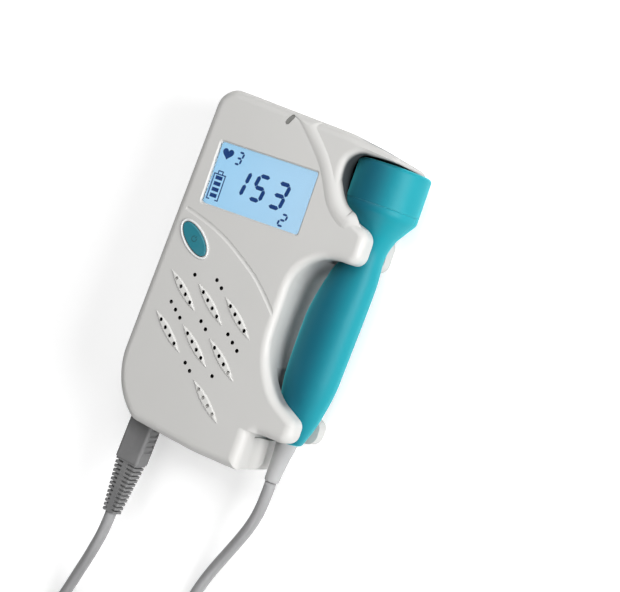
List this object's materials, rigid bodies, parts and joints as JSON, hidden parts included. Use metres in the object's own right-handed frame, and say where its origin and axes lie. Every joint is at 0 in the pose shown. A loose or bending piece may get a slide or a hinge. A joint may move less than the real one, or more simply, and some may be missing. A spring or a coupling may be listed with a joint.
{
  "type": "fetal doppler monitor",
  "caption": "Hand-held ultrasound heartbeat monitor: rounded two-shell housing with a display and speaker, a docked probe in its side recess and a coiled lead to a plug.",
  "frame": {"origin": "centre of the housing's back face, which lies on the surface", "axes": "+Z from the back face out of the display, +Y from the lead end to the top, +X to the side that holds the probe"},
  "size_m": [0.1095, 0.2975, 0.0355],
  "materials": {
    "shell_grey": "fine satin moulded ABS, pale warm grey",
    "back_grey": "fine satin moulded ABS, pale warm grey",
    "cover_grey": "satin moulded ABS",
    "clear_window": "clear acrylic window",
    "lcd_blue": "pale blue backlit display glass",
    "guide_white": "milky light guide",
    "frame_white": "white display holder",
    "board_green": "green solder mask",
    "chip_black": "black epoxy packages",
    "speaker_metal": "dark pressed basket",
    "foam_black": "closed-cell foam",
    "switch_black": "switch housing",
    "plunger_white": "switch plunger",
    "button_teal": "teal button cap",
    "light_pipe": "translucent light pipe",
    "wheel_dark": "notched thumbwheel",
    "pot_metal": "potentiometer can and shaft",
    "jack_black": "jack bodies",
    "cell_skin": "plain wrapped cells",
    "spring_steel": "nickel-plated spring steel",
    "screw_steel": "zinc-plated screws",
    "probe_teal": "satin-gloss teal handle",
    "cap_teal": "satin-gloss teal head ring",
    "face_teal": "acoustic window",
    "crystal": "silvered ceramic",
    "holder_grey": "crystal backing cup",
    "sleeve_grey": "soft grey sleeve",
    "plug_dark": "dark grey moulded plug",
    "pin_gold": "gold-plated contacts",
    "lead_grey": "light grey lead jacket"
  },
  "bodies": {
    "housing": {"front_shell": "shell_grey", "back_shell": "back_grey", "display_window": "clear_window", "lcd_panel": "lcd_blue", "backlight_guide": "guide_white", "lcd_frame": "frame_white", "main_board": "board_green", "board_chips": "chip_black", "speaker": "speaker_metal", "speaker_gasket": "foam_black", "button_switch": "switch_black", "indicator_lens": "light_pipe", "volume_pot": "pot_metal", "headphone_socket": "jack_black", "charger_socket": "jack_black", "probe_socket": "jack_black", "battery_cells": "cell_skin", "battery_contacts": "spring_steel", "shell_screws": "screw_steel"},
    "power_button": {"power_button": "button_teal", "switch_plunger": "plunger_white"},
    "volume_wheel": {"volume_wheel": "wheel_dark"},
    "battery_cover": {"battery_cover": "cover_grey"},
    "probe": {"probe_front_half": "probe_teal", "probe_back_half": "probe_teal", "probe_board": "board_green", "probe_head_cap": "cap_teal", "probe_face": "face_teal", "transducer_discs": "crystal", "crystal_holder": "holder_grey", "probe_sleeve": "sleeve_grey"},
    "plug": {"plug_nose": "plug_dark", "plug_pins": "pin_gold", "plug_boot": "plug_dark", "probe_lead": "lead_grey", "plug_lead": "lead_grey", "cord_coil": "lead_grey"}
  },
  "joints": [
    {"name": "button_press", "type": "slide", "parent": "housing", "child": "power_button", "axis": [0, 0, -1], "range_m": [0, 0.0008], "stiffness_N_per_m": 400},
    {"name": "volume_turn", "type": "hinge", "parent": "housing", "child": "volume_wheel", "pos_m": [-0.024, 0.0624, 0.0249], "axis": [0, 0, 1], "range_deg": [0, 270]},
    {"name": "cover_slide", "type": "slide", "parent": "housing", "child": "battery_cover", "axis": [0, -1, 0], "range_m": [0, 0.06]},
    {"name": "probe_out", "type": "slide", "parent": "housing", "child": "probe", "axis": [1, 0, 0], "range_m": [0, 0.06]},
    {"name": "plug_out", "type": "slide", "parent": "housing", "child": "plug", "axis": [-0.0489, -0.9988, 0], "range_m": [0, 0.015]}
  ]
}
